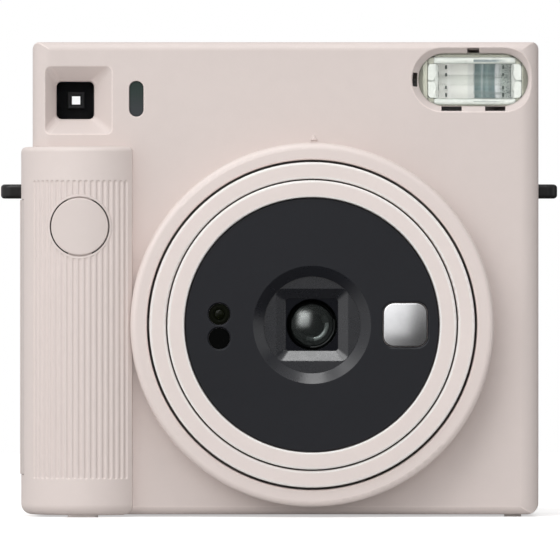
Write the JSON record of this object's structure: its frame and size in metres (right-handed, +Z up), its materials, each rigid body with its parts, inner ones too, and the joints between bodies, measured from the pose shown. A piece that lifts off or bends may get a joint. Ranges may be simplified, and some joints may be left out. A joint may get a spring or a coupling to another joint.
{
  "type": "instant camera",
  "caption": "Square-format instant camera with a round turning lens turret, ribbed side grip, flash, viewfinder, hinged film and battery doors and a motor-driven print exit.",
  "frame": {"origin": "centre of the overall box in plan, on the plane its feet stand on", "axes": "+X across the camera towards the flash, -Y out of the lens, +Z up; the camera stands on its underside"},
  "size_m": [0.1408, 0.0576, 0.1195],
  "materials": {
    "body_plastic": "fine moulded grain, satin",
    "dark_plastic": "dark charcoal, fine satin",
    "black_plastic": "matt black",
    "gloss_black": "polished black",
    "lens_glass": "coated optical glass",
    "clear_plastic": "clear moulded",
    "smoked_plastic": "smoked, polished",
    "mirror": "convex silvered",
    "reflector": "vacuum metallised",
    "steel": "plain",
    "spring_steel": "plain",
    "brass": "machined",
    "nylon": "natural nylon",
    "rubber": "matt",
    "foam": "dense foam",
    "circuit_board": "green solder mask",
    "cell_wrap": "printed sleeve without lettering"
  },
  "bodies": {
    "camera": {"front_cover": "body_plastic", "rear_cover": "body_plastic", "grip_cover": "body_plastic", "battery_door_hinge_pin": "steel", "shutter_button_spring": "spring_steel", "shutter_switch": "black_plastic", "battery_box": "black_plastic", "battery_cells": "cell_wrap", "battery_contacts": "spring_steel", "case_screws": "steel", "film_door_hinge_pin": "steel", "light_seals": "foam", "chassis": "black_plastic", "light_tunnel": "black_plastic", "guide_sleeve": "black_plastic", "viewfinder_tunnel": "black_plastic", "viewfinder_front_lens": "lens_glass", "viewfinder_eyepiece": "lens_glass", "metering_window": "smoked_plastic", "flash_window": "clear_plastic", "flash_reflector": "reflector", "flash_tube": "lens_glass", "flash_housing": "black_plastic", "flash_capacitor": "cell_wrap", "main_circuit_board": "circuit_board", "motor": "steel", "roller_bracket": "steel", "idler_axle": "steel", "roller_springs": "spring_steel", "counter_window": "clear_plastic", "strap_lug_left": "black_plastic", "strap_lug_right": "black_plastic", "feet": "rubber"},
    "lens_ring": {"lens_ring": "body_plastic"},
    "lens_barrel": {"lens_barrel": "body_plastic", "face_plate": "dark_plastic", "selfie_mirror": "mirror", "light_sensor_lens": "smoked_plastic", "light_receiver_window": "gloss_black", "lens_hood": "dark_plastic", "front_lens": "lens_glass", "shutter_housing": "black_plastic", "rear_lens": "lens_glass"},
    "blade_left": {"shutter_blade_left": "black_plastic"},
    "blade_right": {"shutter_blade_right": "black_plastic"},
    "shutter_button": {"shutter_button": "body_plastic"},
    "film_door": {"film_door": "body_plastic", "film_door_window": "smoked_plastic", "film_pressure_pads": "black_plastic", "door_latch_spring": "spring_steel"},
    "door_latch": {"door_latch": "body_plastic"},
    "battery_door": {"battery_door": "body_plastic"},
    "drive_roller": {"drive_roller": "rubber"},
    "pinch_roller": {"pinch_roller": "steel"},
    "idler_gear": {"idler_gear": "nylon"},
    "motor_pinion": {"motor_pinion": "brass"},
    "counter_dial": {"film_counter_dial": "nylon"},
    "film_claw": {"film_claw": "spring_steel"}
  },
  "joints": [
    {"name": "lens_ring_turn", "type": "hinge", "parent": "camera", "child": "lens_ring", "pos_m": [0.00827, -0.02, 0.04835], "axis": [0, 1, 0], "range_deg": [0, 80]},
    {"name": "lens_barrel_slide", "type": "slide", "parent": "camera", "child": "lens_barrel", "axis": [0, -1, 0], "range_m": [0, 0.01]},
    {"name": "shutter_blade_left_swing", "type": "hinge", "parent": "lens_barrel", "child": "blade_left", "pos_m": [-0.00023, -0.01875, 0.04035], "axis": [0, 1, 0], "range_deg": [-40, 0]},
    {"name": "shutter_blade_right_swing", "type": "hinge", "parent": "lens_barrel", "child": "blade_right", "pos_m": [0.01677, -0.01815, 0.04035], "axis": [0, 1, 0], "range_deg": [0, 40]},
    {"name": "shutter_button_press", "type": "slide", "parent": "camera", "child": "shutter_button", "axis": [0, 1, 0], "range_m": [0, 0.0012], "stiffness_N_per_m": 500, "springref_m": -0.001},
    {"name": "film_door_swing", "type": "hinge", "parent": "camera", "child": "film_door", "pos_m": [0.053, 0.02755, 0.0535], "axis": [0, 0, -1], "range_deg": [0, 100]},
    {"name": "door_latch_slide", "type": "slide", "parent": "film_door", "child": "door_latch", "axis": [0, 0, 1], "range_m": [0, 0.0025], "stiffness_N_per_m": 300, "springref_m": -0.002, "deforming": ["door_latch_spring"]},
    {"name": "battery_door_swing", "type": "hinge", "parent": "camera", "child": "battery_door", "pos_m": [-0.0643, 0.0016, 0.04525], "axis": [0, 0, -1], "range_deg": [0, 90]},
    {"name": "drive_roller_turn", "type": "hinge", "parent": "camera", "child": "drive_roller", "pos_m": [0.00827, 0.0034, 0.106], "axis": [1, 0, 0], "continuous": true},
    {"name": "pinch_roller_turn", "type": "hinge", "parent": "camera", "child": "pinch_roller", "pos_m": [0.00827, 0.0106, 0.106], "axis": [1, 0, 0], "continuous": true},
    {"name": "idler_gear_turn", "type": "hinge", "parent": "camera", "child": "idler_gear", "pos_m": [-0.035, -0.00595, 0.1006], "axis": [1, 0, 0], "continuous": true},
    {"name": "motor_pinion_turn", "type": "hinge", "parent": "camera", "child": "motor_pinion", "pos_m": [-0.035, -0.00595, 0.0904], "axis": [1, 0, 0], "continuous": true},
    {"name": "film_counter_turn", "type": "hinge", "parent": "camera", "child": "counter_dial", "pos_m": [0.02, 0.0237, 0.1094], "axis": [0, 1, 0], "range_deg": [0, 300]},
    {"name": "film_claw_slide", "type": "slide", "parent": "camera", "child": "film_claw", "axis": [0, 0, 1], "range_m": [0, 0.008]}
  ],
  "couplings": [
    {"joint": "lens_barrel_slide", "follows": "lens_ring_turn", "m_per_rad": 0.0071584},
    {"joint": "shutter_blade_right_swing", "follows": "shutter_blade_left_swing", "ratio": -1},
    {"joint": "pinch_roller_turn", "follows": "drive_roller_turn", "ratio": -1},
    {"joint": "idler_gear_turn", "follows": "drive_roller_turn", "ratio": -0.5},
    {"joint": "motor_pinion_turn", "follows": "drive_roller_turn", "ratio": 1.2}
  ]
}
